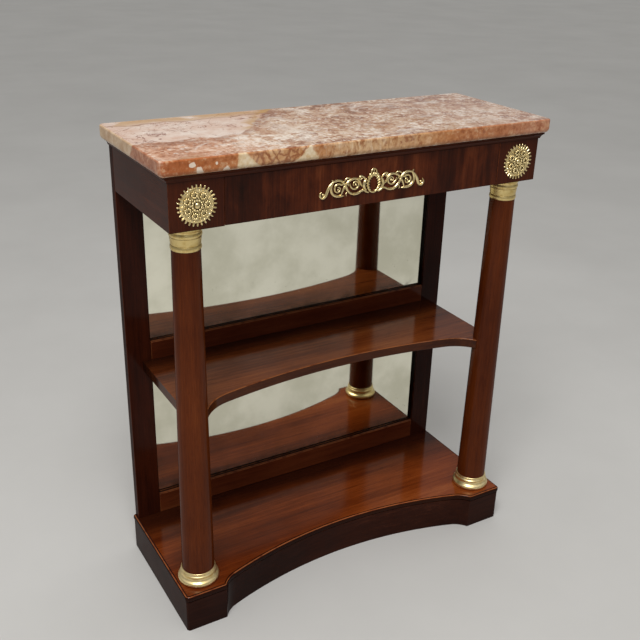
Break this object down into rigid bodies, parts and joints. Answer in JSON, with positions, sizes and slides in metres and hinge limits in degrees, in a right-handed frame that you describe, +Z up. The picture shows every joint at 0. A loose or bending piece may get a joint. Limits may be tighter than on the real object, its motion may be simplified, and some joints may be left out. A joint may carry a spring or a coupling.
{
  "type": "pier table",
  "caption": "Narrow pier table with a marble slab top, a frieze drawer, tapering front columns with brass mounts, a hollowed shelf and plinth, and mirrors in its back frame.",
  "frame": {"origin": "on the floor, under the middle of the table's box", "axes": "+Z up, +X to the right of someone who stands before the table, +Y from the front to the back"},
  "size_m": [0.764, 0.285, 0.89],
  "materials": {
    "mahogany": "dark polished mahogany veneer",
    "drawer_wood": "plain unpolished secondary wood",
    "gilt_brass": "cast and turned brass, gilt, with dull hollows",
    "mirror_glass": "old silvered plate glass with some foxing",
    "marble": "polished pink and tan breccia marble",
    "screw_steel": "darkened steel"
  },
  "bodies": {
    "carcass": {"top_front_rail": "mahogany", "cornice_moulding_front": "mahogany", "bottom_rail": "mahogany", "middle_rail": "mahogany", "back_top_rail": "mahogany", "middle_shelf": "mahogany", "base_board": "mahogany", "plinth_front": "mahogany", "side_apron_left": "mahogany", "frieze_block_left": "mahogany", "cornice_moulding_left": "mahogany", "rear_stile_left": "mahogany", "column_left": "mahogany", "plinth_block_left": "mahogany", "plinth_side_left": "mahogany", "side_apron_right": "mahogany", "frieze_block_right": "mahogany", "cornice_moulding_right": "mahogany", "rear_stile_right": "mahogany", "column_right": "mahogany", "plinth_block_right": "mahogany", "plinth_side_right": "mahogany", "stile_dowels": "drawer_wood", "shelf_dowels": "drawer_wood", "backboard_lower": "drawer_wood", "backboard_upper": "drawer_wood", "plinth_back": "drawer_wood", "plinth_glue_blocks": "drawer_wood", "drawer_stops": "drawer_wood", "drawer_runner_left": "drawer_wood", "drawer_guide_left": "drawer_wood", "drawer_kicker_left": "drawer_wood", "drawer_runner_right": "drawer_wood", "drawer_guide_right": "drawer_wood", "drawer_kicker_right": "drawer_wood", "rosette_pins": "gilt_brass", "capital_left": "gilt_brass", "base_ring_left": "gilt_brass", "rosette_left": "gilt_brass", "capital_right": "gilt_brass", "base_ring_right": "gilt_brass", "rosette_right": "gilt_brass", "mirror_lower": "mirror_glass", "mirror_upper": "mirror_glass", "marble_top": "marble", "backboard_screws": "screw_steel"},
    "drawer": {"drawer_front": "mahogany", "drawer_side_left": "drawer_wood", "drawer_side_right": "drawer_wood", "drawer_back": "drawer_wood", "drawer_bottom": "drawer_wood", "frieze_mount": "gilt_brass", "mount_pins": "gilt_brass"}
  },
  "joints": [
    {"name": "drawer_slide", "type": "slide", "parent": "carcass", "child": "drawer", "axis": [0, -1, 0], "range_m": [0, 0.15]}
  ]
}
